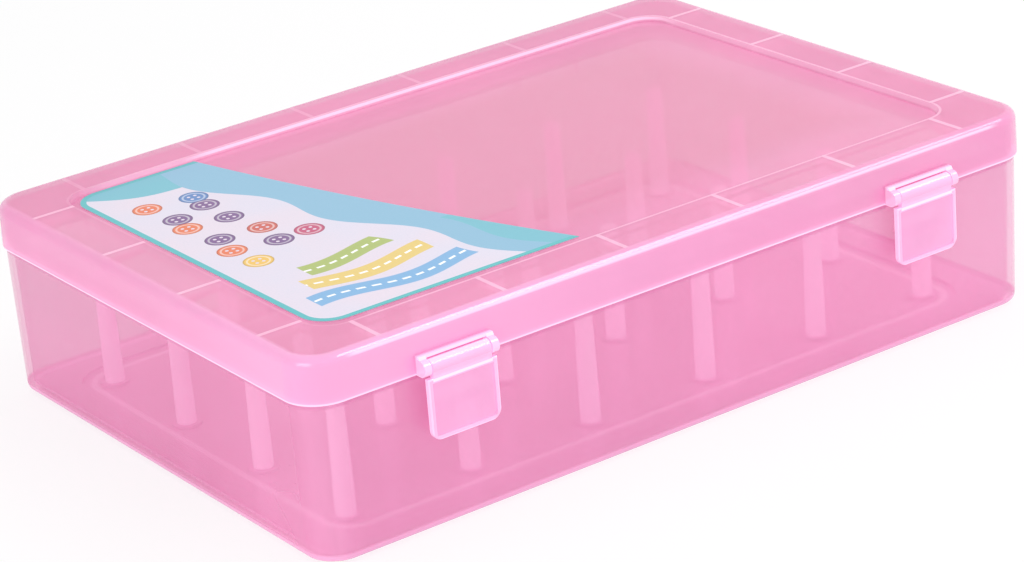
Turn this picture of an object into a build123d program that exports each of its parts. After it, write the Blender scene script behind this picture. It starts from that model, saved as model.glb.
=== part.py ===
from build123d import *
from math import sqrt
import os

os.makedirs("parts", exist_ok=True)

# Embroidery thread box: a shallow tray with a grid of upright spool posts, a hinged lid with a
# sunk panel, and two snap latches on the front. Millimetres, +Z up, +Y to the back (hinge side).
# The origin is on the table, under the middle of the box.

# ---------------------------------------------------------------- the case as a whole
case_length = 250.0         # along X, over the lid
case_width = 171.0          # along Y, over the lid
case_height = 59.5          # table to the top of the lid
corner_radius = 11.0        # upright corners of the lid

# ---------------------------------------------------------------- lid
lid_wall = 1.5              # skirt thickness
lid_roof = 1.4              # thickness of the top, frame and sunk panel alike
skirt_depth = 13.3          # top of the lid to the skirt's lower edge
skirt_lean = 0.3            # the skirt leans in by this much from its lower edge to the top
lid_edge_radius = 2.8       # round between skirt and top
skirt_lip_radius = 0.4      # round on the skirt's lower outer edge
panel_margin = 16.0         # case outline to the edge of the sunk panel
panel_sink = 1.5            # how far the panel lies below the frame
panel_slope = 0.9           # how far the panel's wall leans in on its way down
panel_radius = 9.0          # corners of the sunk panel
rib_thickness = 1.0         # stiffening gussets under the frame
rib_pitch = 40.0
rib_drop = 3.0              # the gusset's depth where it meets the skirt
ribs_along = 6              # gussets on each long side
ribs_across = 4             # gussets on each short side

# ---------------------------------------------------------------- tray
base_inset = 0.9            # lid skirt to the tray's outer wall, where they meet
base_lean = 0.6             # the tray's wall leans in by this much down to the bottom
base_wall = 2.0
base_floor = 1.5
base_edge_radius = 2.0      # round between wall and underside
inner_edge_radius = 1.2     # round between wall and floor, inside
lid_seat_gap = 0.2          # shadow gap between the tray's shoulder and the skirt
lip_height = 4.5            # rim that stands up inside the skirt
lip_gap = 0.35              # skirt to rim
foot_margin = 10.5          # case outline to the foot panel
foot_step = 0.8             # the foot panel lies this much lower than the floor round it
foot_radius = 16.0
foot_lean = 0.4             # the foot panel's outline is smaller by this much at the table

# ---------------------------------------------------------------- spool posts
post_columns = 6
post_rows = 4
post_pitch = 41.0
post_base_radius = 2.9
post_parallel = 6.0         # the post's lowest stretch has no taper, so that a spool sits true
post_tip_radius = 2.45
post_top = 37.0             # height of the tips over the table
post_round = 1.0            # round at the tip
pad_radius = 4.4            # raised seat on the floor under each post
pad_height = 0.8
spigot_radius = 1.8         # the post's foot, pressed into its seat
spigot_length = 1.6
socket_gap = 0.05           # socket to spigot, all round
socket_end_gap = 0.15       # below the spigot

# ---------------------------------------------------------------- latches
latch_margin = 45.0         # end of the case to the middle of the nearer latch
latch_width = 22.0
latch_thickness = 1.4
latch_face = 4.3            # the flap's outer face, in front of the skirt
latch_bottom = 28.4         # lower edge of the flap over the table
latch_corner = 3.0
latch_edge_radius = 0.4
latch_border = 1.3          # raised border round the flap
latch_sink = 0.3            # depth of the field inside the border
latch_axis_out = 2.45       # pivot, in front of the skirt
latch_axis_up = 2.5         # pivot, over the skirt's lower edge
neck_cut = 1.7              # the neck is narrower than the flap by this much each side
bar_radius = 1.1            # moulded bar that the latch snaps onto
barrel_gap = 0.05           # running gap on a bar
barrel_wall = 0.95
mouth_share = 0.8           # width of a snap mouth, as a share of its bar
ear_radius = 2.2
ear_thickness = 2.2
side_gap = 0.3              # barrel to ear
turn_gap = 0.3              # least gap between parts that swing past each other
web_reach = 1.8             # web over the barrel, out from the skirt
web_thickness = 0.8
catch_width = 16.0
catch_reach = 2.4           # ledge on the tray's front wall
catch_height = 37.0         # underside of the ledge over the table
catch_thickness = 1.1       # the ledge at its outer edge
catch_ramp = 2.4            # rise of the ramp on top of the ledge
hook_bite = 0.9             # how far the hook reaches under the ledge
hook_height = 2.1           # where the hook leaves the flap
hook_tip_height = 0.55

# ---------------------------------------------------------------- hinges
hinge_margin = 45.0         # end of the case to the middle of the nearer hinge
hinge_axis_out = 2.2        # pivot, behind the skirt
hinge_axis_up = 0.6         # pivot, over the skirt's lower edge
hinge_bar_radius = 1.3
hinge_barrel_wall = 1.1
hinge_barrel_width = 20.0
hinge_ear_thickness = 2.5
hinge_root = 8.0            # height of the ear's root on the tray's wall
hinge_arm = 5.4             # height of the barrel's arm on the skirt

# ---------------------------------------------------------------- label
label_thickness = 0.15
label_left = 3.6            # panel's edge to the label's left edge
label_front = 4.2           # panel's edge to the label's front edge
label_back = 2.0            # panel's edge to the label's back edge
label_front_length = 82.0
label_back_length = 47.5
label_radius = 9.0
label_bow = 3.0             # how far the slanting edge is drawn in at its middle

# ---------------------------------------------------------------- derived places
parting_z = case_height - skirt_depth
shoulder_z = parting_z - lid_seat_gap
lip_z = shoulder_z + lip_height
panel_z = case_height - panel_sink
roof_z = case_height - lid_roof
ring_floor_z = foot_step + base_floor
pad_z = base_floor + pad_height
latch_offset = case_length / 2 - latch_margin
hinge_offset = case_length / 2 - hinge_margin
wall_root = lid_wall / 2                 # depth to which fittings are rooted in a wall
base_root = base_inset + base_wall / 2
latch_barrel_radius = bar_radius + barrel_gap + barrel_wall
latch_barrel_width = latch_width - 2 * neck_cut
flap_top = latch_axis_up - ear_radius - 2 * turn_gap
flap_bottom = latch_bottom - parting_z
flap_back = latch_face - latch_thickness
hinge_barrel_radius = hinge_bar_radius + barrel_gap + hinge_barrel_wall
hinge_ear_radius = hinge_axis_out - turn_gap


# ---------------------------------------------------------------- shapes used more than once
def rounded_face(length, width, radius, z):
    """Rounded rectangle at height z, centred on the box."""
    return Pos(0, 0, z) * RectangleRounded(length, width, radius)


def rounded_block(length, width, radius, low, high, lean=0.0):
    """Rounded block; the outline is the top's, and the bottom is drawn in by lean on every side."""
    top = rounded_face(length, width, radius, high)
    if lean == 0:
        return extrude(top, low - high)
    return loft([rounded_face(length - 2 * lean, width - 2 * lean, radius - lean, low), top])


def inset_block(inset, low, high, lean=0.0):
    """Rounded block whose top has the case's outline, drawn in by inset on every side."""
    length, width = case_length - 2 * inset, case_width - 2 * inset
    return rounded_block(length, width, corner_radius - inset, low, high, lean)


def across(sketch, width):
    """Sketch of (out, up), drawn anticlockwise, extruded along X to the given width."""
    return extrude(Plane.YZ.offset(-width / 2) * sketch, width)


def ring_section(out, up, radius, bore, direction):
    """Section of a snap ring round (out, up), open towards direction, in degrees from out."""
    slot = Rectangle(2 * radius, 2 * bore * mouth_share, align=(Align.MIN, Align.CENTER))
    ring = Circle(radius) - Circle(bore + barrel_gap)
    return Pos(out, up) * (ring - Rot(0, 0, direction) * slot)


def at_front(x, fitting):
    """Fitting drawn as (out, up) from the skirt's lower edge, placed on the front at x."""
    return Pos(x, -case_width / 2, parting_z) * Rot(0, 0, 180) * fitting


def at_back(x, fitting):
    """Fitting drawn as (out, up) from the skirt's lower edge, placed on the back at x."""
    return Pos(x, case_width / 2, parting_z) * fitting


def spaced(count, pitch):
    """Places of count things at the pitch, centred on zero."""
    return [(i - (count - 1) / 2) * pitch for i in range(count)]


def post_places():
    return [(x, y) for y in spaced(post_rows, post_pitch) for x in spaced(post_columns, post_pitch)]


# ---------------------------------------------------------------- tray
def hinge_ears():
    """Two ears on the tray's back wall and the bar between them."""
    ear_top = -lid_seat_gap - turn_gap
    root = Polygon(
        (-base_root, -hinge_root),
        (hinge_axis_out + hinge_ear_radius, hinge_axis_up),
        (hinge_axis_out, ear_top),
        (-base_root, ear_top),
        align=None,
    )
    section = root + Pos(hinge_axis_out, hinge_axis_up) * Circle(hinge_ear_radius)
    middle = hinge_barrel_width / 2 + side_gap + hinge_ear_thickness / 2
    ear = across(section, hinge_ear_thickness)
    bar = across(Pos(hinge_axis_out, hinge_axis_up) * Circle(hinge_bar_radius), 2 * middle)
    return Pos(middle, 0, 0) * ear + Pos(-middle, 0, 0) * ear + bar


def catch_ledge():
    """Ledge on the tray's front wall, flat below and ramped above."""
    low = catch_height - parting_z
    tip = catch_reach - base_inset
    section = Polygon(
        (-base_root, low),
        (tip, low),
        (tip, low + catch_thickness),
        (-base_inset, low + catch_thickness + catch_ramp),
        (-base_root, low + catch_thickness + catch_ramp),
        align=None,
    )
    return across(section, catch_width)


def make_tray():
    outer = inset_block(base_inset, foot_step, shoulder_z, base_lean)
    outer = fillet(outer.edges().group_by(Axis.Z)[0], base_edge_radius)
    foot_length = case_length - 2 * foot_margin
    foot_width = case_width - 2 * foot_margin
    foot = rounded_block(foot_length, foot_width, foot_radius, 0, ring_floor_z, foot_lean)
    lip = inset_block(lid_wall + lip_gap, shoulder_z - base_wall, lip_z)

    inside = base_inset + base_wall
    hollow = inset_block(inside, ring_floor_z, shoulder_z, base_lean)
    hollow = fillet(hollow.edges().group_by(Axis.Z)[0], inner_edge_radius)
    mouth = inset_block(inside, shoulder_z, lip_z)
    sink = rounded_block(
        foot_length - 2 * base_floor,
        foot_width - 2 * base_floor,
        foot_radius - base_floor,
        base_floor,
        ring_floor_z,
    )
    tray = outer + foot + lip - hollow - mouth - sink

    pad = extrude(Pos(0, 0, base_floor) * Circle(pad_radius), pad_height)
    socket = extrude(Pos(0, 0, pad_z) * Circle(spigot_radius + socket_gap), -spigot_length - socket_end_gap)
    tray += [Pos(x, y, 0) * pad for x, y in post_places()]
    tray -= [Pos(x, y, 0) * socket for x, y in post_places()]
    tray += [at_back(side * hinge_offset, hinge_ears()) for side in (-1, 1)]
    tray += [at_front(side * latch_offset, catch_ledge()) for side in (-1, 1)]
    return tray


# ---------------------------------------------------------------- spool post
def make_post():
    """Tapered post with a rounded tip and a spigot that fits the tray's socket."""
    section = Polygon(
        (0, pad_z - spigot_length),
        (spigot_radius, pad_z - spigot_length),
        (spigot_radius, pad_z),
        (post_base_radius, pad_z),
        (post_base_radius, pad_z + post_parallel),
        (post_tip_radius, post_top),
        (0, post_top),
        align=None,
    )
    rim = section.vertices().sort_by_distance((post_tip_radius, post_top))[0]
    return revolve(Plane.XZ * fillet(rim, post_round), Axis.Z)


# ---------------------------------------------------------------- lid
def latch_bracket():
    """Two ears on the skirt, the bar between them and the web over the bar."""
    web_low = latch_axis_up + latch_barrel_radius + turn_gap
    web_top = web_low + web_thickness
    nose = Pos(latch_axis_out, latch_axis_up) * Circle(ear_radius)
    root = Polygon(
        (-wall_root, latch_axis_up - ear_radius),
        (latch_axis_out, latch_axis_up - ear_radius),
        (latch_axis_out, latch_axis_up + ear_radius),
        (web_reach, web_top),
        (-wall_root, web_top),
        align=None,
    )
    web = Polygon(
        (-wall_root, web_low),
        (web_reach, web_low),
        (web_reach, web_top),
        (-wall_root, web_top),
        align=None,
    )
    middle = latch_barrel_width / 2 + side_gap + ear_thickness / 2
    ear = across(nose + root, ear_thickness)
    bar = across(Pos(latch_axis_out, latch_axis_up) * Circle(bar_radius), 2 * middle)
    return Pos(middle, 0, 0) * ear + Pos(-middle, 0, 0) * ear + bar + across(web, 2 * middle)


def hinge_barrel():
    """Snap ring on the lid's back, with the arm that carries it."""
    diagonal = hinge_barrel_radius / sqrt(2)
    arm = Polygon(
        (-wall_root, hinge_axis_up - hinge_bar_radius / 2),
        (hinge_axis_out, hinge_axis_up),
        (hinge_axis_out + diagonal, hinge_axis_up + diagonal),
        (-wall_root, hinge_arm),
        align=None,
    )
    bore = Pos(hinge_axis_out, hinge_axis_up) * Circle(hinge_bar_radius + barrel_gap)
    ring = ring_section(hinge_axis_out, hinge_axis_up, hinge_barrel_radius, hinge_bar_radius, -90)
    return across(ring + (arm - bore), hinge_barrel_width)


def frame_gusset(reach):
    """Gusset under the lid's frame, from the sunk panel's wall out to the skirt."""
    corner = lid_edge_radius / 2
    section = Polygon(
        (0, panel_z - lid_roof),
        (reach, roof_z - rib_drop),
        (reach, roof_z - corner),
        (reach - corner, roof_z + lid_roof / 2),
        (0, roof_z + lid_roof / 2),
        align=None,
    )
    return across(section, rib_thickness)


def make_lid():
    shell = rounded_block(
        case_length, case_width, corner_radius, case_height, parting_z, skirt_lean
    )
    shell = fillet(shell.edges().group_by(Axis.Z)[-1], lid_edge_radius)
    shell = fillet(shell.edges().group_by(Axis.Z)[0], skirt_lip_radius)

    panel_length = case_length - 2 * panel_margin
    panel_width = case_width - 2 * panel_margin
    recess = rounded_block(
        panel_length, panel_width, panel_radius, panel_z, case_height, panel_slope
    )
    hollow = inset_block(lid_wall, roof_z, parting_z, skirt_lean)
    hollow = fillet(hollow.edges().group_by(Axis.Z)[-1], lid_edge_radius - lid_wall)
    under = panel_z - lid_roof
    keep = rounded_block(
        panel_length + 2 * lid_roof,
        panel_width + 2 * lid_roof,
        panel_radius + lid_roof,
        under,
        roof_z,
        panel_slope,
    )
    lid = shell - recess - (hollow - keep)

    wall_x = panel_length / 2 + lid_roof / 2
    wall_y = panel_width / 2 + lid_roof / 2
    reach_x = case_length / 2 - lid_wall / 2 - wall_x
    reach_y = case_width / 2 - lid_wall / 2 - wall_y
    for x in spaced(ribs_along, rib_pitch):
        lid += Pos(x, wall_y, 0) * frame_gusset(reach_y)
        lid += Pos(x, -wall_y, 0) * Rot(0, 0, 180) * frame_gusset(reach_y)
    for y in spaced(ribs_across, rib_pitch):
        lid += Pos(-wall_x, y, 0) * Rot(0, 0, 90) * frame_gusset(reach_x)
        lid += Pos(wall_x, y, 0) * Rot(0, 0, -90) * frame_gusset(reach_x)
    for side in (-1, 1):
        lid += at_front(side * latch_offset, latch_bracket())
        lid += at_back(side * hinge_offset, hinge_barrel())
    return lid


# ---------------------------------------------------------------- latch
def make_latch():
    """Flap with a raised border, a hook behind it and a snap ring at its top."""
    height = flap_top - flap_bottom
    outline = Rectangle(latch_width, height)
    outline = fillet(outline.vertices().group_by(Axis.Y)[0], latch_corner)
    field = Rectangle(latch_width - 2 * latch_border, height - 2 * latch_border)
    field = fillet(field.vertices().group_by(Axis.Y)[0], latch_corner - latch_border)

    # Both outlines lie on the flap's outer face, and are extruded from there towards the case.
    middle = (0, latch_face, (flap_top + flap_bottom) / 2)
    outer_face = Plane(origin=middle, x_dir=(1, 0, 0), z_dir=(0, -1, 0))
    flap = extrude(outer_face * outline, latch_thickness)
    flap = fillet(flap.faces().sort_by(Axis.Y)[-1].edges(), latch_edge_radius)
    flap -= extrude(outer_face * field, latch_sink)

    neck = Polygon(
        (flap_back, flap_top - latch_border / 2),
        (latch_face, flap_top - latch_border / 2),
        (latch_face, latch_axis_up),
        (flap_back, latch_axis_up),
        align=None,
    )
    bore = Pos(latch_axis_out, latch_axis_up) * Circle(bar_radius + barrel_gap)
    ring = ring_section(latch_axis_out, latch_axis_up, latch_barrel_radius, bar_radius, 180)
    barrel = across(ring + (neck - bore), latch_barrel_width)

    hook_z = catch_height - parting_z - turn_gap
    hook_tip = catch_reach - base_inset - hook_bite
    hook_root = flap_back + latch_thickness / 2
    hook = Polygon(
        (hook_root, hook_z),
        (hook_tip, hook_z),
        (hook_tip, hook_z - hook_tip_height),
        (hook_root, hook_z - hook_height),
        align=None,
    )
    return flap + barrel + across(hook, catch_width)


# ---------------------------------------------------------------- label
def make_label():
    """Thin sticker on the sunk panel, with one slanting side."""
    left = -case_length / 2 + panel_margin + panel_slope + label_left
    front = -case_width / 2 + panel_margin + panel_slope + label_front
    back = case_width / 2 - panel_margin - panel_slope - label_back
    front_right = left + label_front_length
    back_right = left + label_back_length
    middle = ((front_right + back_right) / 2 - label_bow, (front + back) / 2)
    outline = [
        Line((left, back), (left, front)),
        Line((left, front), (front_right, front)),
        ThreePointArc((front_right, front), middle, (back_right, back)),
        Line((back_right, back), (left, back)),
    ]
    sketch = make_face(outline)
    sketch = fillet(sketch.vertices().group_by(Axis.X)[0], label_radius)
    return Pos(0, 0, panel_z) * extrude(sketch, label_thickness)


# ---------------------------------------------------------------- the pieces, one file each
pieces = {"tray": make_tray(), "lid": make_lid(), "label_sticker": make_label()}
pieces["latch_left"] = at_front(-latch_offset, make_latch())
pieces["latch_right"] = at_front(latch_offset, make_latch())
post = make_post()
for number, (x, y) in enumerate(post_places()):
    row, column = divmod(number, post_columns)
    pieces[f"spool_post_{row + 1}_{column + 1}"] = Pos(x, y, 0) * post

for node, piece in pieces.items():
    export_step(piece, f"parts/{node}.step")
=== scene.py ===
"""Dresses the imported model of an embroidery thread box: milky pink plastic, snap latches,
upright spool posts and a printed label, on a pale studio floor. Metres, +Z up, +Y to the back."""

from math import cos, sin

import bmesh
import bpy
from bpy.props import FloatProperty, FloatVectorProperty, PointerProperty
from mathutils import Matrix, Vector


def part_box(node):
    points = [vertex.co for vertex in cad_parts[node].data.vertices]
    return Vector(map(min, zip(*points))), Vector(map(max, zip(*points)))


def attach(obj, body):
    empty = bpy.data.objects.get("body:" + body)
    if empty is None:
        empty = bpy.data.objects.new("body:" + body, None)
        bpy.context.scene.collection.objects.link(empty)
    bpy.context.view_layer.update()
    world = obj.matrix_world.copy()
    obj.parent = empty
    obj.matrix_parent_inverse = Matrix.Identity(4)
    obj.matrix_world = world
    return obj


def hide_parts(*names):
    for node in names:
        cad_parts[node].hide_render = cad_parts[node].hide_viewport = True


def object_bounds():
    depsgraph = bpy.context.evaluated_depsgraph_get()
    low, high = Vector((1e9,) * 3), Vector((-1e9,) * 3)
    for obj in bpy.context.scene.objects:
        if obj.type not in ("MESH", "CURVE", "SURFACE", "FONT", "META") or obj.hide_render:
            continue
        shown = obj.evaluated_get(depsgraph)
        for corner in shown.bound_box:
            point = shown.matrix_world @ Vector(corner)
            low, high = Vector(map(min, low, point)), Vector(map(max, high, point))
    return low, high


bl_info = {
    "name": "Thread Box Dressing",
    "version": (1, 0, 0),
    "blender": (4, 5, 0),
    "location": "3D View > Sidebar > Thread Box",
    "description": "Gives a thread box its milky plastic, its printed label and its studio",
    "category": "Object",
}

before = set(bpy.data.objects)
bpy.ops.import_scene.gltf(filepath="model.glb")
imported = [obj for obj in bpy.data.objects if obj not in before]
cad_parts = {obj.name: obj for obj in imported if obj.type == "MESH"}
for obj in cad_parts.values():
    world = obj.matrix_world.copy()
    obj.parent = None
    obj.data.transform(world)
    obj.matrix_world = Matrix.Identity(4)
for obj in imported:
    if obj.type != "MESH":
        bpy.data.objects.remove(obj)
cad_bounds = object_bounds()

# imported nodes
TRAY = "tray"
LID = "lid"
LABEL = "label_sticker"
POSTS = sorted(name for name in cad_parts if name.startswith("spool_post"))
LATCHES = ("latch_left", "latch_right")

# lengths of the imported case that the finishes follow, in metres
MM = 0.001
case_high = cad_bounds[1]
latch_low, latch_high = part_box("latch_right")
CASE_HALF_LENGTH = case_high.x
CASE_HALF_WIDTH = 0.0855
CASE_CORNER = 0.011
CASE_TOP = case_high.z
PANEL_HALF_LENGTH = 0.109
PANEL_HALF_WIDTH = 0.0695
PANEL_CORNER = 0.009
RIB_PITCH = 0.04
SKIRT_INSIDE = 2.2 * MM
LATCH_OFFSET = (latch_low.x + latch_high.x) / 2
LATCH_HALF_WIDTH = (latch_high.x - latch_low.x) / 2
LATCH_FOOT = latch_low.z
LATCH_TOP = 0.0459
BARREL_CROWN = latch_high.z

# heights and depths at which a painted highlight line, a painted shade line or a tone starts, in
# metres
PARTING = 0.0462
WEB_FOOT = 0.0511
TOP_EDGE = CASE_TOP - 2.0 * MM
STEP_GLINT = CASE_TOP - 0.55 * MM
FLOOR_TOP = 2.6 * MM
FLOOR_JOINT = 4.1 * MM

# how strongly each painted highlight and glow along a slender edge shows, from 0 to 1
GUSSET_LIGHT = 0.42
STEP_LIGHT = 0.35
STEP_WALL_LIGHT = 0.75
LOWER_EDGE_LIGHT = 0.85
TOP_EDGE_LIGHT = 0.75
BRACKET_LIGHT = 0.55
WEB_LIGHT = 0.95
FLOOR_JOINT_LIGHT = 0.25
FOOT_LINE_LIGHT = 0.45
TRAY_CORNER_LIGHT = 0.08
BORDER_LIGHT = 0.3
OUTLINE_LIGHT = 0.65
CROWN_LIGHT = 0.75
KNUCKLE_LIGHT = 0.3

# the label film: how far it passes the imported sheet, and its slanting edge
FILM_LEFT = 0.0017
FILM_BACK = 0.0016
FILM_FRONT = 0.0843
FILM_RUN = 0.397
FILM_BOW = 0.622
FILM_CORNER = 0.009
FILM_LIFT = 0.00006
FILM_THICKNESS = 0.00015
FILM_CUTS = 15
CORNER_CUTS = 10

# the print, in millimetres on the film
MARGIN = 1.8
CORNER_SWATHE = 2.0
SIDE_SWATHE = 15.0
FIRST_RIBBON = 13.0
RIBBON_PITCH = 12.0
RIBBON_HALF = 3.8
STITCH_HALF = 0.45
STITCH_PITCH = 4.2
BUTTONS_LEFT = 7.5
BUTTONS_FRONT = 50.0
BUTTONS_BACK = 19.0
BUTTONS_RIGHT = 60.0
BUTTONS_SLANT = 0.31

# a button, in shares of the buttons' pitch
BUTTON_RADIUS = 0.37
BUTTON_RIM = 0.335
BUTTON_GROOVE = 0.27
HOLE_OFFSET = 0.09
HOLE_RADIUS = 0.045

# the film's surface, in metres
WASH_SIZE = 0.03
PRINT_GRAIN = 0.0006
CURL_SIZE = 0.02
CURL_HEIGHT = 0.0003

# the plastic: cloud sizes, bump height and what a thick place hides
MOTTLE_SIZE = 0.016
RIPPLE_SIZE = 0.035
RIPPLE_HEIGHT = 0.0004
SCRATCH_SIZE = 0.0012
SCRATCH_TURN = 0.6
PLASTIC_IOR = 1.49
EDGE_COVER = 0.95
BLACK = (0.0, 0.0, 0.0, 1.0)
WHITE = (1.0, 1.0, 1.0, 1.0)

# the studio, in metres
AIM = (0.0, 0.0, 0.04)
KEY_PLACE = (0.75, -0.55, 1.07)
KEY_SIZE = (0.7, 0.45)
FILL_PLACE = (-1.3, -0.5, 0.5)
FILL_SIZE = (0.9, 0.7)
FLOOR_RADIUS = 4.0
FLOOR_DROP = 0.3 * MM
FLOOR_GRAIN = 0.004
SIGHT = (0.01, 50.0)
CLEAR_FACES = 48


# ------------------------------------------------------------------ shader building
def linear(colour):
    """The linear colour of a picker's sRGB colour, with full alpha."""
    return (*(c / 12.92 if c <= 0.04045 else ((c + 0.055) / 1.055) ** 2.4 for c in colour), 1.0)


class Level:
    """A number that varies over a surface. Arithmetic on it adds Math nodes."""

    def __init__(self, recipe, socket):
        self.recipe = recipe
        self.socket = socket

    def math(self, operation, *others):
        node = self.recipe.add("ShaderNodeMath", {"operation": operation},
                               dict(enumerate((self, *others))))
        return Level(self.recipe, node.outputs[0])

    def reflected(self, operation, other):
        node = self.recipe.add("ShaderNodeMath", {"operation": operation}, {0: other, 1: self})
        return Level(self.recipe, node.outputs[0])

    def __add__(self, other):
        return self.math("ADD", other)

    def __radd__(self, other):
        return self.math("ADD", other)

    def __sub__(self, other):
        return self.math("SUBTRACT", other)

    def __rsub__(self, other):
        return self.reflected("SUBTRACT", other)

    def __mul__(self, other):
        return self.math("MULTIPLY", other)

    def __rmul__(self, other):
        return self.math("MULTIPLY", other)

    def __truediv__(self, other):
        return self.math("DIVIDE", other)

    def __abs__(self):
        return self.math("ABSOLUTE")

    def above(self, edge):
        return self.math("GREATER_THAN", edge)

    def below(self, edge):
        return self.math("LESS_THAN", edge)

    def least(self, other):
        return self.math("MINIMUM", other)

    def most(self, other):
        return self.math("MAXIMUM", other)

    def part(self):
        return self.math("FRACT")

    def sine(self):
        return self.math("SINE")

    def root(self):
        return self.math("SQRT")

    def ramp(self, low, high, start=0.0, end=1.0):
        """Runs from start to end as this level goes from low to high, eased at both ends."""
        node = self.recipe.add("ShaderNodeMapRange", {"interpolation_type": "SMOOTHSTEP"},
                               {"Value": self, "From Min": low, "From Max": high,
                                "To Min": start, "To Max": end})
        return Level(self.recipe, node.outputs["Result"])


class Recipe:
    """The node tree of one material or world, and the one way to add a node to it."""

    def __init__(self, owner):
        owner.use_nodes = True
        self.owner = owner
        self.tree = owner.node_tree
        self.tree.nodes.clear()

    def add(self, kind, settings=None, values=None):
        node = self.tree.nodes.new(kind)
        for name, setting in (settings or {}).items():
            if name == "stops":
                self.set_stops(node.color_ramp, setting)
            else:
                setattr(node, name, setting)
        for key, value in (values or {}).items():
            self.feed(node.inputs[key], value)
        return node

    def feed(self, socket, value):
        if isinstance(value, Level):
            value = value.socket
        if isinstance(value, bpy.types.NodeSocket):
            self.tree.links.new(value, socket)
        else:
            socket.default_value = value

    def set_stops(self, ramp, stops):
        ramp.interpolation = "CONSTANT"
        while len(ramp.elements) < len(stops):
            ramp.elements.new(1.0)
        for element, (position, colour) in zip(ramp.elements, stops):
            element.position = position
            element.color = colour

    def place(self):
        """The point on the piece, in metres."""
        return self.add("ShaderNodeTexCoord").outputs["Object"]

    def split(self, vector):
        node = self.add("ShaderNodeSeparateXYZ", values={"Vector": vector})
        return [Level(self, output) for output in node.outputs]

    def turned(self, vector, rotation, scale):
        node = self.add("ShaderNodeMapping", values={
            "Vector": vector, "Rotation": rotation, "Scale": scale})
        return node.outputs["Vector"]

    def noise(self, vector, size, detail):
        """Smooth noise from 0 to 1 with clouds about this size, in metres."""
        node = self.add("ShaderNodeTexNoise", values={
            "Vector": vector, "Scale": 1.0 / size, "Detail": detail, "Roughness": 0.5})
        return Level(self, node.outputs["Fac"])

    def seen(self):
        """1 where the camera, a gloss or clear plastic looks straight at the surface."""
        rays = self.add("ShaderNodeLightPath")
        camera, glossy, passed = (Level(self, rays.outputs[name]) for name in (
            "Is Camera Ray", "Is Glossy Ray", "Is Transmission Ray"))
        return camera.most(glossy).most(passed)

    def let_light_by(self, shader, colour):
        """The shader, but lamplight on its way to other surfaces passes in this colour."""
        rays = self.add("ShaderNodeLightPath")
        clear = self.add("ShaderNodeBsdfTransparent", values={"Color": linear(colour)})
        mixed = self.add("ShaderNodeMixShader", values={
            0: rays.outputs["Is Shadow Ray"], 1: shader.outputs[0], 2: clear.outputs[0]})
        return mixed.outputs[0]

    def blend(self, factor, first, second):
        node = self.add("ShaderNodeMix", {"data_type": "RGBA"}, {0: factor, 6: first, 7: second})
        return node.outputs[2]

    def bump(self, height, distance, strength):
        node = self.add("ShaderNodeBump", values={
            "Height": height, "Distance": distance, "Strength": strength})
        return node.outputs["Normal"]

    def finish(self, shader, output="ShaderNodeOutputMaterial"):
        self.add(output, values={"Surface": shader})
        return self.owner


def new_recipe(name):
    return Recipe(bpy.data.materials.new(name))


# ------------------------------------------------------------------ finishes
def milky_plastic(name, look, colour, cover, cloud_size, scuffs, build_up=None,
                  painted_shade_colour=None):
    """Moulded see-through plastic: uneven milkiness, soft ripples from the mould and fine scuffs.
    cover is what one face hides. build_up gives four levels from 0 to 1: how much plastic lies
    behind a point, where painted highlights and glow lie along slender edges, where painted shade
    shows in its own colour, and where the wall hides what is behind it without being paler."""
    recipe = new_recipe(name)
    place = recipe.place()
    clouds = recipe.noise(place, cloud_size, 2.0)
    mottle = recipe.noise(place, MOTTLE_SIZE, 0.0)
    ripple = recipe.noise(place, RIPPLE_SIZE, 0.0)
    drawn_out = recipe.turned(place, (0.0, 0.0, SCRATCH_TURN), (0.05, 1.6, 1.0))
    scuff = recipe.noise(drawn_out, SCRATCH_SIZE, 0.0).ramp(0.78, 0.84) * scuffs
    dull = linear(tuple(c * 0.97 for c in colour))
    milk = recipe.blend(clouds.ramp(0.3, 0.7), dull, linear(colour))
    milk = recipe.blend(mottle.ramp(0.4, 0.8, 0.0, 0.05), milk, linear(look.thick_colour))
    see = cover + 0.06 * (clouds - 0.5) + 0.02 * scuff
    shine = look.shine
    # painted glow: without build_up, as for the posts, the plastic gives off light in its own
    # colour
    glow, glow_strength = linear(colour), look.painted_post_glow
    if build_up:
        thick, painted_highlight, painted_shade, dense = build_up(*recipe.split(place))
        # painted shade: the shaded places take the painted shade colour
        milk = recipe.blend(painted_shade, milk, linear(painted_shade_colour or colour))
        # the thick colour follows how much plastic lies behind a point; in the lid's skirt it also
        # carries a painted light falloff
        milk = recipe.blend(thick, milk, linear(look.thick_colour))
        # painted highlight: slender edges take the pale highlight colour
        milk = recipe.blend(painted_highlight, milk, linear(look.painted_highlight_colour))
        see = see + (EDGE_COVER - cover) * thick.most(painted_highlight).most(dense)
        shine = shine + (1.0 - shine) * thick.most(painted_highlight)
        # painted glow: the slender edges give off light in the highlight colour
        glow = recipe.blend(painted_highlight, BLACK, linear(look.painted_highlight_colour))
        glow_strength = look.painted_edge_glow
    solid = recipe.add("ShaderNodeBsdfPrincipled", values={
        "Base Color": milk, "Roughness": 0.18 + 0.06 * clouds + 0.25 * scuff, "Alpha": see,
        "Normal": recipe.bump(ripple, RIPPLE_HEIGHT, 0.3),
        "IOR": PLASTIC_IOR, "Coat Weight": shine, "Coat Roughness": 0.05,
        "Emission Color": glow, "Emission Strength": glow_strength})
    return recipe.finish(recipe.let_light_by(solid, look.passing))


def depth_inside(across, along, half_length, half_width, radius):
    """How far a point lies inside an upright outline with rounded corners."""
    over_x = abs(across) - (half_length - radius)
    over_y = abs(along) - (half_width - radius)
    corner_x, corner_y = over_x.most(0.0), over_y.most(0.0)
    outside = (corner_x * corner_x + corner_y * corner_y).root()
    return radius - outside - over_x.most(over_y).least(0.0)


def near(level, centre, half, soft):
    """1 within half of the centre, falling to 0 over the soft distance."""
    return abs(level - centre).ramp(half, half + soft, 1.0, 0.0)


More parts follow.
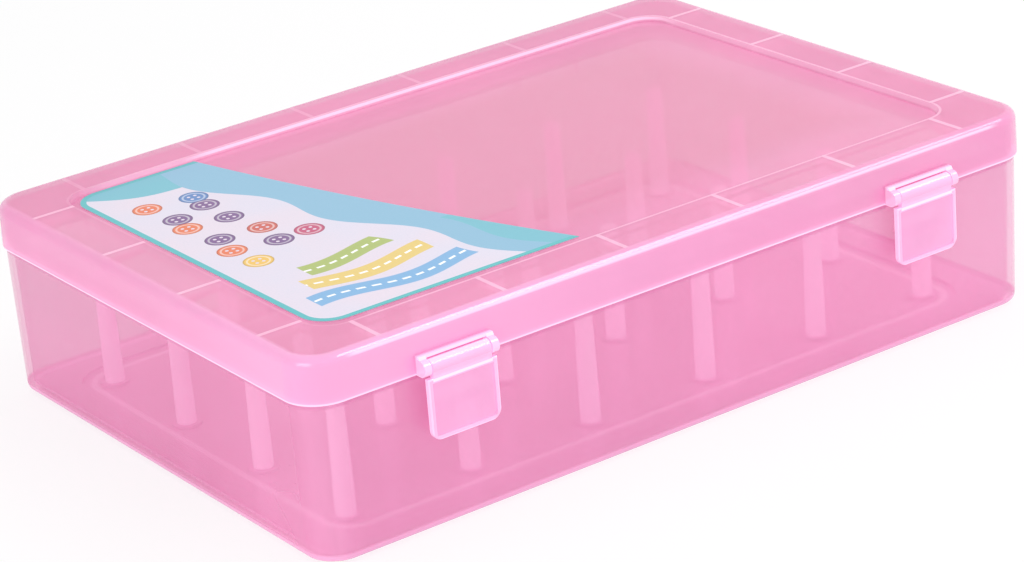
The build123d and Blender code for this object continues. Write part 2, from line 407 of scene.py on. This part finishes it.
def lid_build_up(across, along, height):
    """Thick in the skirt, with a painted light falloff that keeps it palest at the front left
    corner;
    painted highlights and glow on the gussets, the step round the panel, the lower edge, the front
    of the top edge and the latch brackets; and painted shade, darkest in the middle of the sunk
    panel."""
    inset = depth_inside(across, along, CASE_HALF_LENGTH, CASE_HALF_WIDTH, CASE_CORNER)
    sunk = depth_inside(across, along, PANEL_HALF_LENGTH, PANEL_HALF_WIDTH, PANEL_CORNER)
    skirt = inset.ramp(SKIRT_INSIDE, SKIRT_INSIDE + 1.4 * MM, 1.0, 0.0)
    # painted light falloff: the skirt's pale thick colour is strongest at the front left corner
    # and fades towards the back right
    skirt = skirt * (across + along * 2.0).ramp(-0.296, -0.10, 0.8, 0.4)
    # painted highlights and glow on the gussets, weaker towards the back
    rib_half, rib_soft = 0.5 * MM / RIB_PITCH, 0.4 * MM / RIB_PITCH
    row_ribs = near((across / RIB_PITCH).part(), 0.5, rib_half, rib_soft)
    end_ribs = near((along / RIB_PITCH).part(), 0.5, rib_half, rib_soft)
    beside = abs(along).above(PANEL_HALF_WIDTH) * along.ramp(0.0, CASE_HALF_WIDTH, 1.0, 0.3)
    at_ends = abs(across).above(PANEL_HALF_LENGTH)
    ribs = (row_ribs * beside).most(end_ribs * at_ends)
    ribs = ribs * inset.ramp(SKIRT_INSIDE, SKIRT_INSIDE + 1.0 * MM)
    # painted highlight along the step round the sunk panel, faint at the left end, with a brighter
    # painted glint on the step wall at the back and the right
    step = near(sunk, 0.0, 0.5 * MM, 0.5 * MM) * across.ramp(-0.108, -0.09, 0.2, 1.0)
    step_wall = near(sunk, 0.3 * MM, 0.5 * MM, 0.3 * MM)
    step_wall = step_wall * near(height, STEP_GLINT, 0.3 * MM, 0.25 * MM)
    step_wall = step_wall * across.ramp(-0.075, -0.055, 0.2, 1.0)
    step_wall = step_wall * along.ramp(0.05, 0.07, 0.4, 1.0)
    # painted highlight along the skirt's lower edge
    lower_edge = height.ramp(PARTING + 0.35 * MM, PARTING + 0.9 * MM, 1.0, 0.0)
    # painted highlight along the front of the rounded top edge
    top_edge = near(inset, 0.6 * MM, 0.05 * MM, 0.3 * MM) * height.above(TOP_EDGE)
    top_edge = top_edge * abs(across).ramp(0.108, 0.113, 1.0, 0.0) * along.below(-0.08)
    # painted highlights on the latch brackets and their webs
    bracket = inset.below(-0.5 * MM)
    web = inset.below(-1.1 * MM) * height.above(WEB_FOOT)
    painted_highlight = (ribs * GUSSET_LIGHT).most(step * STEP_LIGHT).most(step_wall * STEP_WALL_LIGHT)
    painted_highlight = painted_highlight.most(lower_edge * LOWER_EDGE_LIGHT).most(top_edge * TOP_EDGE_LIGHT)
    painted_highlight = painted_highlight.most(bracket * BRACKET_LIGHT).most(web * WEB_LIGHT)
    # painted shade: the sunk panel darker towards its middle
    return skirt, painted_highlight, sunk.ramp(6.0 * MM, 30.0 * MM) * 0.9, 0.0


def tray_build_up(across, along, height):
    """Thick in the floor and the foot; painted highlights and glow where wall and floor meet,
    along the foot's outline and in the upright corners; and painted shade on the left end wall and
    in a line under the lid's lower edge."""
    floor_zone = height.ramp(FLOOR_TOP, FLOOR_TOP + 1.0 * MM, 1.0, 0.0)
    inset = depth_inside(across, along, CASE_HALF_LENGTH, CASE_HALF_WIDTH, CASE_CORNER)
    on_floor = height.below(FLOOR_TOP + 1.3 * MM)
    # painted highlight where wall and floor meet
    joint = near(inset, FLOOR_JOINT, 0.5 * MM, 0.5 * MM) * on_floor
    foot = depth_inside(across, along, PANEL_HALF_LENGTH, PANEL_HALF_WIDTH, PANEL_CORNER)
    # painted highlight along the foot's outline
    foot_line = near(foot, 0.0, 0.4 * MM, 1.2 * MM) * on_floor
    # painted light in the upright corners
    corner_x = (abs(across) - (CASE_HALF_LENGTH - CASE_CORNER)).ramp(0.0, 5.0 * MM)
    corner_y = (abs(along) - (CASE_HALF_WIDTH - CASE_CORNER)).ramp(0.0, 5.0 * MM)
    # painted shade: a dark line on the tray wall just under the lid's lower edge, which also hides
    # more
    shade = near(height, PARTING - 0.75 * MM, 0.35 * MM, 0.3 * MM)
    # painted shade: the left end wall darker from its middle to the back
    painted_end_shade = across.ramp(-0.121, -0.119, 1.0, 0.0) * along.ramp(-0.08, -0.02)
    painted_highlight = (joint * FLOOR_JOINT_LIGHT).most(foot_line * FOOT_LINE_LIGHT)
    painted_highlight = painted_highlight.most(corner_x * corner_y * TRAY_CORNER_LIGHT)
    painted_shade = (shade * 0.65).most(painted_end_shade * 0.3)
    dense = (floor_zone * 0.85).most(shade * 0.6)
    return floor_zone * 0.45, painted_highlight, painted_shade, dense


def latch_build_up(across, _, height):
    """Painted highlights and glow along the flap's raised border, brightest on the ridge at its
    top and on the barrel's crown."""
    beside = LATCH_HALF_WIDTH - abs(abs(across) - LATCH_OFFSET)
    rim = beside.least(height - LATCH_FOOT).least(LATCH_TOP - height)
    # painted highlights and glow along the flap's raised border and its outline
    border = rim.ramp(1.2 * MM, 1.5 * MM, 1.0, 0.0) * height.below(LATCH_TOP)
    outline = rim.ramp(0.3 * MM, 0.8 * MM, 1.0, 0.0) * height.below(LATCH_TOP)
    # painted highlights and glow on the ridge at the flap's top, on the barrel's crown and on the
    # knuckle
    ridge = near(height, LATCH_TOP - 0.5 * MM, 0.3 * MM, 0.3 * MM) * beside.above(1.6 * MM)
    crown = height.ramp(BARREL_CROWN - 0.9 * MM, BARREL_CROWN - 0.3 * MM)
    knuckle = height.above(LATCH_TOP)
    painted_highlight = (border * BORDER_LIGHT).most(outline * OUTLINE_LIGHT).most(ridge)
    painted_highlight = painted_highlight.most(crown * CROWN_LIGHT).most(knuckle * KNUCKLE_LIGHT)
    return border.most(knuckle) * 0.4, painted_highlight, 0.0, 0.0


def film_box():
    """The film's lowest and highest corners. It reaches nearer to the panel's step at the left
    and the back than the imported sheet."""
    low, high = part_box(LABEL)
    return low - Vector((FILM_LEFT, 0.0, 0.0)), high + Vector((0.0, FILM_BACK, 0.0))


def film_edge(row):
    """Where the film's slanting edge lies, right of its left edge, at a distance from its front
    edge. It is drawn in a little between its ends."""
    return FILM_FRONT - FILM_RUN * row + FILM_BOW * row * row


class LabelPrint(Recipe):
    """The film's print. Columns and rows count millimetres from its left and front edges."""

    def __init__(self, owner, look):
        super().__init__(owner)
        self.look = look
        low, high = film_box()
        self.middle_height = low.z + FILM_LIFT + FILM_THICKNESS / 2
        self.point = self.place()
        across, along, self.height = self.split(self.point)
        self.column = (across - low.x) / MM
        self.row = (along - low.y) / MM
        self.width = (high.y - low.y) / MM
        past = self.column - film_edge(self.row * MM) / MM
        self.slant = past + SIDE_SWATHE + (self.row / 8.0).sine() * 3.0
        wash = self.noise(self.point, WASH_SIZE, 2.0)
        self.picture = self.blend(wash.ramp(0.3, 0.7), linear(look.ground), linear(look.wash))

    def stamp(self, mask, colour):
        """Prints a colour over the picture where the mask is 1."""
        self.picture = self.blend(mask, self.picture, colour)

    def swathes(self):
        """Rounded swathes of blue across the back corner and beside the slanting edge."""
        sweep = self.column * 0.5 + self.row - (self.width - CORNER_SWATHE)
        sweep = sweep + (self.column / 9.0).sine() * 4.0
        self.stamp(sweep.above(0.0), linear(self.look.corner))
        self.stamp(self.slant.above(0.0), linear(self.look.corner_low))
        self.stamp(self.slant.above(9.0) * self.row.below(40.0), linear(self.look.corner))

    def ribbons(self):
        """Three waving ribbons with a stitched line along each."""
        for index, colour in enumerate(self.look.threads()):
            middle = self.row - FIRST_RIBBON - RIBBON_PITCH * index
            middle = middle - (self.column / 8.0 + index * 0.9).sine() * 2.5
            ribbon = near(middle, 0.0, RIBBON_HALF, 0.3)
            ribbon = ribbon * (self.column - 8.0 - 5.0 * index).above(0.0)
            ribbon = ribbon * self.slant.below(-3.0 - 4.0 * index)
            dash = (self.column / STITCH_PITCH + index * 0.4).part().below(0.6)
            stitch = near(middle, 0.0, STITCH_HALF, 0.1) * dash
            self.stamp(ribbon, linear(colour))
            self.stamp(ribbon * stitch, WHITE)

    def buttons(self):
        """Buttons with a rim, a groove and four holes, each drawn whole or not at all."""
        cell = self.look.button_pitch / MM
        flat = self.add("ShaderNodeCombineXYZ", values={
            "X": self.column / cell, "Y": self.row / cell}).outputs[0]
        scatter = self.add("ShaderNodeTexVoronoi", {"voronoi_dimensions": "2D"}, {
            "Vector": flat, "Scale": 1.0, "Randomness": 0.4})
        reach = Level(self, scatter.outputs["Distance"])
        offset = self.add("ShaderNodeVectorMath", {"operation": "SUBTRACT"}, {
            0: flat, 1: scatter.outputs["Position"]})
        side, up, _ = self.split(offset.outputs[0])
        hole_x, hole_y = abs(side) - HOLE_OFFSET, abs(up) - HOLE_OFFSET
        hole = (hole_x * hole_x + hole_y * hole_y).root().below(HOLE_RADIUS)
        cell_x, cell_y, _ = self.split(scatter.outputs["Position"])
        column, row = cell_x * cell, cell_y * cell
        drawn = row.above(BUTTONS_FRONT) * row.below(self.width - BUTTONS_BACK)
        drawn = drawn * column.above(BUTTONS_LEFT)
        drawn = drawn * (column + row * BUTTONS_SLANT).below(BUTTONS_RIGHT)
        disc = reach.below(BUTTON_RADIUS) * drawn
        groove = near(reach, BUTTON_GROOVE, 0.02, 0.01) * disc
        rim = reach.above(BUTTON_RIM) * disc
        self.stamp(disc, self.enamel(scatter.outputs["Color"]))
        self.stamp(groove * 0.4, WHITE)
        self.stamp(rim * 0.3, BLACK)
        self.stamp(hole * disc, linear(self.look.ground))

    def enamel(self, random_colour):
        """The colour of each button, picked by the random colour of its cell."""
        shade = self.add("ShaderNodeSeparateColor", values={"Color": random_colour})
        colours = self.look.button_colours()
        stops = [(index / len(colours), linear(colour)) for index, colour in enumerate(colours)]
        ramp = self.add("ShaderNodeValToRGB", {"stops": stops}, {"Fac": shade.outputs["Red"]})
        return ramp.outputs["Color"]

    def margin(self):
        """A coloured line at the left, front and back that turns with the film's corners."""
        corner = FILM_CORNER / MM
        short_x = (corner - self.column).most(0.0)
        short_y = (abs(self.row - self.width / 2) - (self.width / 2 - corner)).most(0.0)
        line = (short_x * short_x + short_y * short_y).root().above(corner - MARGIN)
        self.stamp(line, linear(self.look.margin))

    def film(self):
        """The finished film: faintly grained and curled, with its gummed side below."""
        grain = self.noise(self.point, PRINT_GRAIN, 1.0)
        self.stamp(grain.ramp(0.3, 0.8, 0.0, 0.06), linear(self.look.margin))
        self.stamp(self.height.below(self.middle_height), linear(self.look.backing))
        curl = self.noise(self.point, CURL_SIZE, 1.0)
        shader = self.add("ShaderNodeBsdfPrincipled", values={
            "Base Color": self.picture, "Roughness": 0.34 + 0.1 * grain,
            "Normal": self.bump(curl + grain * 0.04, CURL_HEIGHT, 0.4),
            "Coat Weight": 0.25, "Coat Roughness": 0.2})
        return self.finish(self.let_light_by(shader, self.look.passing))


def label_print(name, look):
    """The film's material, its motifs printed one over the other."""
    sheet = LabelPrint(bpy.data.materials.new(name), look)
    sheet.swathes()
    sheet.ribbons()
    sheet.buttons()
    sheet.margin()
    return sheet.film()


def cut_film():
    """The film as its own sheet, a hair over the panel: rounded at the left, slanting at the
    right."""
    low, high = film_box()
    base = low.z + FILM_LIFT
    form = bmesh.new()
    corners = [form.verts.new((x, y, base)) for x, y in (
        (low.x, low.y), (low.x + film_edge(0.0), low.y),
        (low.x + film_edge(high.y - low.y), high.y), (low.x, high.y))]
    form.faces.new(corners)
    slanting = form.edges.get(corners[1:3])
    bmesh.ops.subdivide_edges(form, edges=[slanting], cuts=FILM_CUTS)
    left_corners = []
    for point in form.verts:
        if point.co.x > low.x + FILM_CORNER:
            point.co.x = low.x + film_edge(point.co.y - low.y)
        else:
            left_corners.append(point)
    bmesh.ops.bevel(form, geom=left_corners, affect="VERTICES", offset=FILM_CORNER,
                    offset_type="OFFSET", segments=CORNER_CUTS, profile=0.5, material=-1)
    bmesh.ops.solidify(form, geom=form.faces[:], thickness=-FILM_THICKNESS)
    bmesh.ops.recalc_face_normals(form, faces=form.faces[:])
    mesh = bpy.data.meshes.new("label_film")
    form.to_mesh(mesh)
    form.free()
    return mesh


def dress(node, material):
    """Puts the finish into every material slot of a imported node."""
    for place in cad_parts[node].material_slots:
        place.material = material


# ------------------------------------------------------------------ settings
def colour_setting(name, description, default):
    return FloatVectorProperty(name=name, description=description, default=default,
                               subtype="COLOR", size=3, min=0.0, max=1.0)


def share_setting(name, description, default):
    return FloatProperty(name=name, description=description, default=default,
                         min=0.0, max=1.0, subtype="FACTOR")


class PlasticLook(bpy.types.PropertyGroup):
    """Colours and milkiness of the four plastics."""

    lid_colour: colour_setting("Lid colour", "Plastic of the lid", (0.93, 0.595, 0.755))
    tray_colour: colour_setting("Tray colour", "Plastic of the tray", (0.945, 0.65, 0.81))
    # painted shade: colour of the shade painted in the middle of the sunk panel
    painted_panel_shade: colour_setting("Panel colour", "Plastic in the middle of the sunk panel",
                                 (0.89, 0.55, 0.69))
    # painted shade: colour of the shade line painted on the tray wall under the lid's edge
    shade_colour: colour_setting("Shade colour", "Tray wall right under the lid's edge",
                                 (0.80, 0.42, 0.62))
    post_colour: colour_setting("Post colour", "Plastic of the posts", (1.0, 0.85, 0.95))
    latch_colour: colour_setting("Latch colour", "Plastic of the latches", (0.99, 0.73, 0.9))
    thick_colour: colour_setting("Thick colour", "Plastic in the skirt, floor and borders",
                                 (0.985, 0.69, 0.88))
    # painted highlight: colour of the pale lines painted along slender edges
    painted_highlight_colour: colour_setting("Edge colour", "Slender edges that gather light",
                                (1.0, 0.84, 0.94))
    shine: share_setting("Shine", "Gloss coat on plain walls", 0.12)
    # painted glow: light the posts give off, standing in for light carried up through the plastic
    painted_post_glow: share_setting("Carried light", "Light the posts carry up from the floor", 0.2)
    # painted glow: light the slender edges give off
    painted_edge_glow: share_setting("Edge glow", "Light that slender edges give off", 0.25)
    passing: colour_setting("Passing light", "Light that one face lets on", (0.985, 0.955, 0.97))
    lid_cover: share_setting("Lid cover", "How much one face of the lid hides", 0.56)
    tray_cover: share_setting("Tray cover", "How much one face of the tray hides", 0.40)
    post_cover: share_setting("Post cover", "How much one face of a post hides", 0.85)
    latch_cover: share_setting("Latch cover", "How much one face of a latch hides", 0.6)


class LabelLook(bpy.types.PropertyGroup):
    """Colours and motif sizes of the printed film."""

    ground: colour_setting("Ground", "Paper white behind the motifs", (0.895, 0.84, 0.895))
    wash: colour_setting("Wash", "Faint tint in the ground", (0.87, 0.845, 0.91))
    margin: colour_setting("Margin", "Line along the left, front and back edges",
                           (0.28, 0.72, 0.74))
    backing: colour_setting("Backing", "Gummed side of the film", (0.93, 0.90, 0.94))
    passing: colour_setting("Passing light", "Light that the film lets on", (0.93, 0.90, 0.92))
    corner: colour_setting("Back corner", "Swathe across the back", (0.42, 0.72, 0.79))
    corner_low: colour_setting("Front corner", "Swathe at the right", (0.52, 0.715, 0.83))
    thread_a: colour_setting("First thread", "Stitched line nearest the front",
                             (0.47, 0.68, 0.86))
    thread_b: colour_setting("Second thread", "Middle stitched line", (0.90, 0.78, 0.42))
    thread_c: colour_setting("Third thread", "Stitched line nearest the back",
                             (0.66, 0.72, 0.36))
    button_pitch: FloatProperty(name="Button pitch", description="Distance between buttons",
                                default=0.0118, unit="LENGTH", min=0.004, max=0.05)

    def threads(self):
        return self.thread_a, self.thread_b, self.thread_c

    def button_colours(self):
        return ((0.90, 0.42, 0.20), (0.76, 0.20, 0.42), (0.93, 0.74, 0.28), (0.45, 0.25, 0.52),
                (0.30, 0.48, 0.74), (0.50, 0.66, 0.32), (0.80, 0.30, 0.24))


class StudioLook(bpy.types.PropertyGroup):
    """Camera, floor and lamps."""

    eye: FloatVectorProperty(name="Camera place", description="Where the camera stands",
                             default=(-0.52016, -0.75424, 0.39675), size=3, unit="LENGTH")
    turn: FloatProperty(name="Turn", description="Camera heading, from +Y towards +X",
                        default=0.5396, unit="ROTATION")
    tilt: FloatProperty(name="Tilt", description="Camera angle below the horizon",
                        default=0.3944, unit="ROTATION")
    roll: FloatProperty(name="Roll", description="Camera roll", default=-0.1077, unit="ROTATION")
    lens: FloatProperty(name="Lens", description="Focal length", default=118.82, unit="CAMERA",
                        min=1.0)
    shift_x: FloatProperty(name="Shift X", description="Sideways shift of the frame",
                           default=0.1918)
    shift_y: FloatProperty(name="Shift Y", description="Upward shift of the frame", default=0.0322)
    floor_colour: colour_setting("Floor", "Pale floor", (0.97, 0.965, 0.97))
    floor_glow: share_setting("Floor glow", "White the camera adds to the floor", 0.75)
    sky: FloatProperty(name="Room light", description="Strength of the even light", default=0.8,
                       min=0.0)
    key: FloatProperty(name="Key lamp", description="Key softbox", default=7.0, min=0.0,
                       unit="POWER")
    fill: FloatProperty(name="Fill lamp", description="Fill softbox", default=5.5, min=0.0,
                        unit="POWER")


class ThreadBoxLook(bpy.types.PropertyGroup):
    """All the settings of the scene."""

    plastic: PointerProperty(type=PlasticLook)
    label: PointerProperty(type=LabelLook)
    studio: PointerProperty(type=StudioLook)


# ------------------------------------------------------------------ operators
class ThreadBoxOperator:
    """What the operators share."""

    bl_options = {"REGISTER", "UNDO"}

    def look(self, context):
        return context.scene.thread_box


class THREADBOX_OT_mould_tray(ThreadBoxOperator, bpy.types.Operator):
    """Gives the tray its milky plastic"""

    bl_idname = "threadbox.mould_tray"
    bl_label = "Mould tray"

    def execute(self, context):
        look = self.look(context).plastic
        dress(TRAY, milky_plastic("tray_plastic", look, look.tray_colour, look.tray_cover,
                                  cloud_size=0.06, scuffs=0.1, build_up=tray_build_up,
                                  painted_shade_colour=look.shade_colour))
        return {"FINISHED"}


class THREADBOX_OT_mould_lid(ThreadBoxOperator, bpy.types.Operator):
    """Gives the lid its milky plastic, with painted shade in the sunk panel and painted highlights
    on its edges
    """

    bl_idname = "threadbox.mould_lid"
    bl_label = "Mould lid"

    def execute(self, context):
        look = self.look(context).plastic
        dress(LID, milky_plastic("lid_plastic", look, look.lid_colour, look.lid_cover,
                                 cloud_size=0.05, scuffs=0.1, build_up=lid_build_up,
                                 painted_shade_colour=look.painted_panel_shade))
        return {"FINISHED"}


class THREADBOX_OT_mould_posts(ThreadBoxOperator, bpy.types.Operator):
    """Gives the spool posts their denser plastic and a painted glow"""

    bl_idname = "threadbox.mould_posts"
    bl_label = "Mould posts"

    def execute(self, context):
        look = self.look(context).plastic
        material = milky_plastic("post_plastic", look, look.post_colour, look.post_cover,
                                 cloud_size=0.03, scuffs=0.2)
        for post in POSTS:
            dress(post, material)
        return {"FINISHED"}


class THREADBOX_OT_mould_latches(ThreadBoxOperator, bpy.types.Operator):
    """Gives the two latches their paler plastic"""

    bl_idname = "threadbox.mould_latches"
    bl_label = "Mould latches"

    def execute(self, context):
        look = self.look(context).plastic
        material = milky_plastic("latch_plastic", look, look.latch_colour, look.latch_cover,
                                 cloud_size=0.02, scuffs=0.3, build_up=latch_build_up)
        for latch in LATCHES:
            dress(latch, material)
        return {"FINISHED"}


class THREADBOX_OT_print_label(ThreadBoxOperator, bpy.types.Operator):
    """Cuts the film on the lid and prints buttons and stitches on it"""

    bl_idname = "threadbox.print_label"
    bl_label = "Print label"

    def execute(self, context):
        mesh = cut_film()
        mesh.materials.append(label_print("label_print", self.look(context).label))
        film = bpy.data.objects.new("label_film", mesh)
        context.scene.collection.objects.link(film)
        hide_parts(LABEL)
        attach(film, "lid")
        return {"FINISHED"}


class THREADBOX_OT_set_camera(ThreadBoxOperator, bpy.types.Operator):
    """Places the camera"""

    bl_idname = "threadbox.set_camera"
    bl_label = "Set camera"

    def execute(self, context):
        look = self.look(context).studio
        ahead = Vector((sin(look.turn) * cos(look.tilt), cos(look.turn) * cos(look.tilt),
                        -sin(look.tilt)))
        level = ahead.cross(Vector((0.0, 0.0, 1.0))).normalized()
        top = level.cross(ahead)
        right = cos(look.roll) * level + sin(look.roll) * top
        above = cos(look.roll) * top - sin(look.roll) * level
        data = bpy.data.cameras.new("camera")
        data.lens = look.lens
        data.shift_x = look.shift_x
        data.shift_y = look.shift_y
        data.clip_start, data.clip_end = SIGHT
        camera = bpy.data.objects.new("camera", data)
        axes = Matrix((right, above, -ahead)).transposed().to_4x4()
        camera.matrix_world = Matrix.Translation(look.eye) @ axes
        context.scene.collection.objects.link(camera)
        context.scene.camera = camera
        return {"FINISHED"}


class THREADBOX_OT_set_stage(ThreadBoxOperator, bpy.types.Operator):
    """Makes the floor, the even room light and the softboxes"""

    bl_idname = "threadbox.set_stage"
    bl_label = "Set stage"

    def softbox(self, context, name, place, size, power):
        data = bpy.data.lights.new(name, "AREA")
        data.shape = "RECTANGLE"
        data.size, data.size_y = size
        data.energy = power
        lamp = bpy.data.objects.new(name, data)
        lamp.location = place
        lamp.rotation_mode = "QUATERNION"
        lamp.rotation_quaternion = (Vector(AIM) - Vector(place)).to_track_quat("-Z", "Y")
        context.scene.collection.objects.link(lamp)

    def lay_floor(self, context, look):
        mesh = bpy.data.meshes.new("floor")
        form = bmesh.new()
        bmesh.ops.create_circle(form, cap_ends=True, segments=96, radius=FLOOR_RADIUS)
        bmesh.ops.translate(form, verts=form.verts, vec=(0.0, 0.0, -FLOOR_DROP))
        form.to_mesh(mesh)
        form.free()
        floor = bpy.data.objects.new("floor", mesh)
        context.scene.collection.objects.link(floor)

        paint = new_recipe("floor_paint")
        grain = paint.noise(paint.place(), FLOOR_GRAIN, 2.0)
        tone = paint.blend(grain.ramp(0.3, 0.7, 0.0, 0.05), linear(look.floor_colour), WHITE)
        matt = paint.add("ShaderNodeBsdfDiffuse", values={"Color": tone})
        white = paint.add("ShaderNodeEmission", values={"Color": WHITE, "Strength": 1.0})
        mixed = paint.add("ShaderNodeMixShader", values={
            0: paint.seen() * look.floor_glow, 1: matt.outputs[0], 2: white.outputs[0]})
        mesh.materials.append(paint.finish(mixed.outputs[0]))

    def light_room(self, context, look):
        world = bpy.data.worlds.new("room")
        context.scene.world = world
        room = Recipe(world)
        even = room.add("ShaderNodeBackground", values={"Color": WHITE, "Strength": look.sky})
        white = room.add("ShaderNodeBackground", values={"Color": WHITE, "Strength": 1.0})
        mixed = room.add("ShaderNodeMixShader", values={
            0: room.seen(), 1: even.outputs[0], 2: white.outputs[0]})
        room.finish(mixed.outputs[0], "ShaderNodeOutputWorld")

    def execute(self, context):
        look = self.look(context).studio
        self.lay_floor(context, look)
        self.light_room(context, look)
        self.softbox(context, "key_softbox", KEY_PLACE, KEY_SIZE, look.key)
        self.softbox(context, "fill_softbox", FILL_PLACE, FILL_SIZE, look.fill)
        context.scene.view_settings.view_transform = "Standard"
        context.scene.cycles.transparent_max_bounces = CLEAR_FACES
        return {"FINISHED"}


class THREADBOX_PT_panel(bpy.types.Panel):
    """Lists the settings and the steps"""

    bl_idname = "THREADBOX_PT_panel"
    bl_label = "Thread Box"
    bl_space_type = "VIEW_3D"
    bl_region_type = "UI"
    bl_category = "Thread Box"

    def draw(self, context):
        look = context.scene.thread_box
        for group in (look.plastic, look.label, look.studio):
            box = self.layout.box()
            for name in group.__annotations__:
                box.prop(group, name)
        for step in STEPS:
            self.layout.operator(step.bl_idname)


STEPS = (
    THREADBOX_OT_mould_tray,
    THREADBOX_OT_mould_lid,
    THREADBOX_OT_mould_posts,
    THREADBOX_OT_mould_latches,
    THREADBOX_OT_print_label,
    THREADBOX_OT_set_camera,
    THREADBOX_OT_set_stage,
)
CLASSES = (PlasticLook, LabelLook, StudioLook, ThreadBoxLook, *STEPS, THREADBOX_PT_panel)


def register():
    for item in CLASSES:
        bpy.utils.register_class(item)
    bpy.types.Scene.thread_box = PointerProperty(type=ThreadBoxLook)


def unregister():
    del bpy.types.Scene.thread_box
    for item in reversed(CLASSES):
        bpy.utils.unregister_class(item)


def main():
    register()
    bpy.ops.threadbox.mould_tray()
    bpy.ops.threadbox.mould_lid()
    bpy.ops.threadbox.mould_posts()
    bpy.ops.threadbox.mould_latches()
    bpy.ops.threadbox.print_label()
    bpy.ops.threadbox.set_camera()
    bpy.ops.threadbox.set_stage()


if __name__ == "__main__":
    main()
